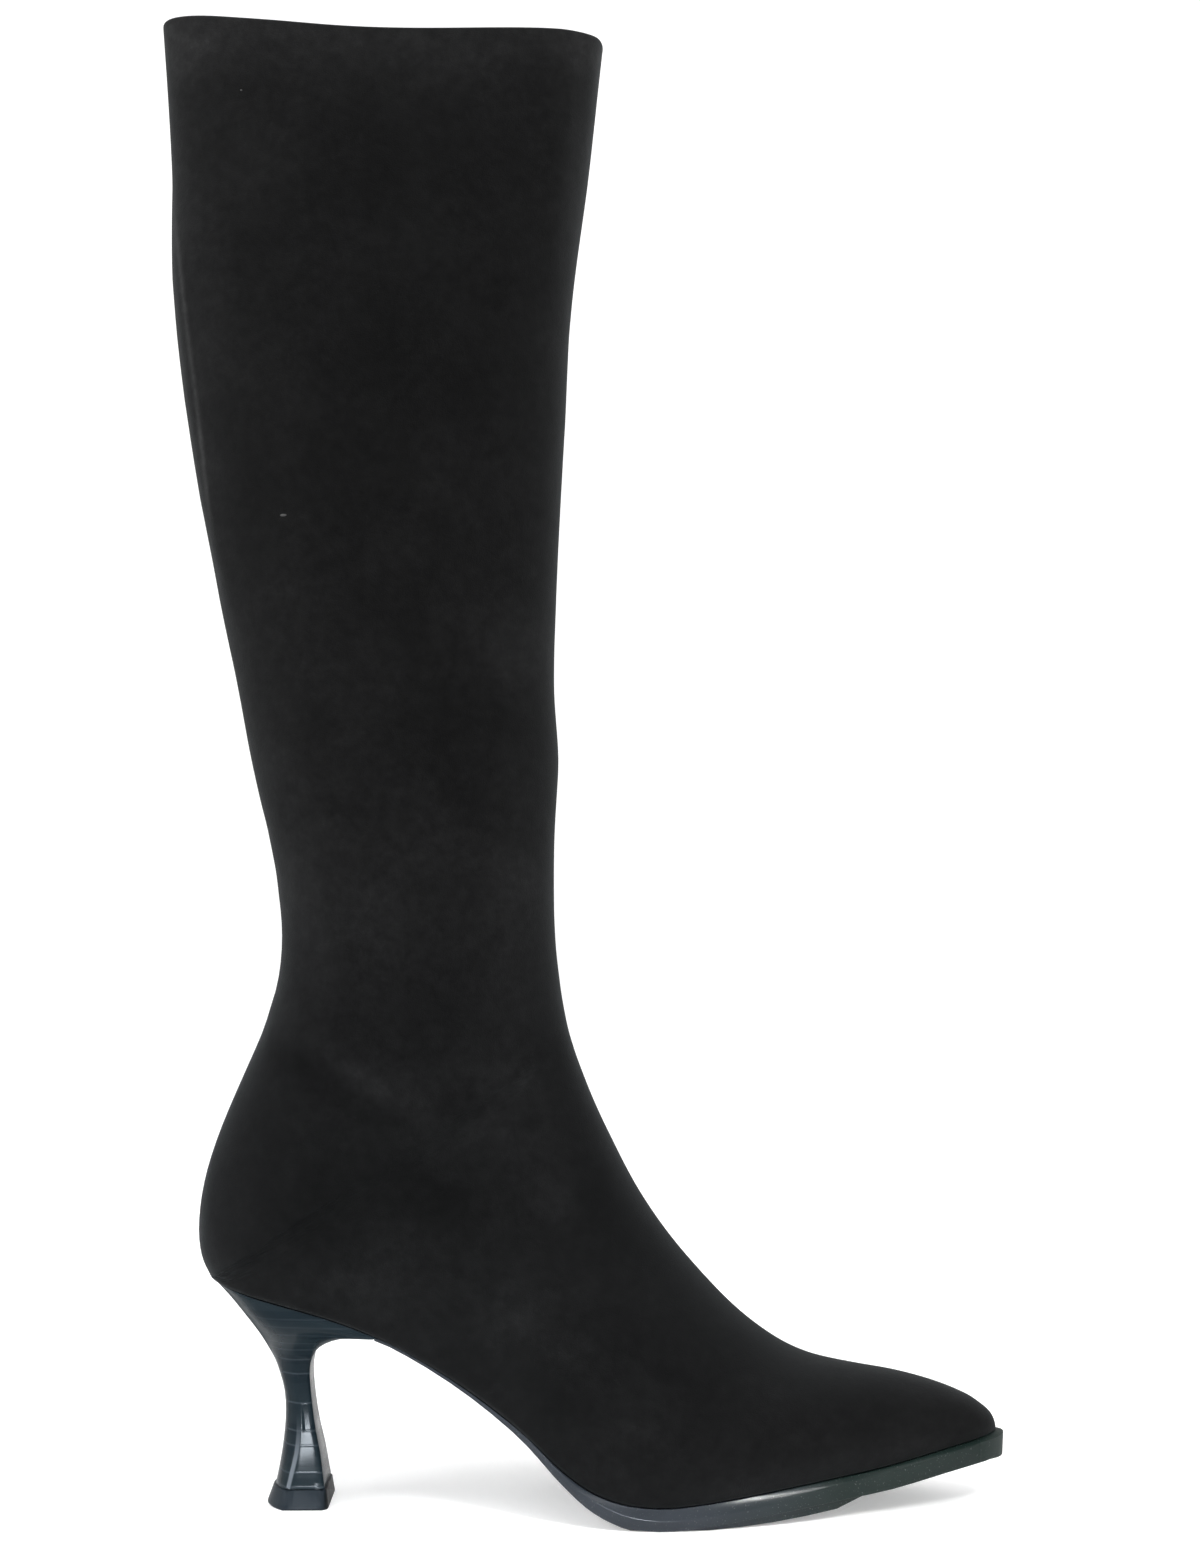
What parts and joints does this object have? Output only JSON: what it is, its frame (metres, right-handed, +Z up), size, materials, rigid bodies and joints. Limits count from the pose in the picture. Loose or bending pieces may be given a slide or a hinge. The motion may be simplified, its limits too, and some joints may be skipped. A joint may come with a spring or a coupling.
{
  "type": "knee-high heeled boot",
  "caption": "Pull-on knee-high suede boot for the right foot, with an almond toe, thin glossy sole and slender stacked heel.",
  "frame": {"origin": "on the floor under the middle of the boot's box", "axes": "+X towards the toe, +Y towards the inner side of the foot, +Z up"},
  "size_m": [0.2642, 0.0814, 0.4624],
  "materials": {
    "suede": "black stretch suede with a short nap",
    "sock": "black lining leather, matte",
    "sole_rubber": "dark grey, semi-gloss",
    "stacked_heel": "dark grey stacked layers under a gloss coat",
    "top_piece_rubber": "dark grey, satin"
  },
  "bodies": {
    "root": {"upper": "suede", "insole": "sock", "outsole": "sole_rubber", "heel": "stacked_heel", "top_piece": "top_piece_rubber"}
  },
  "joints": []
}
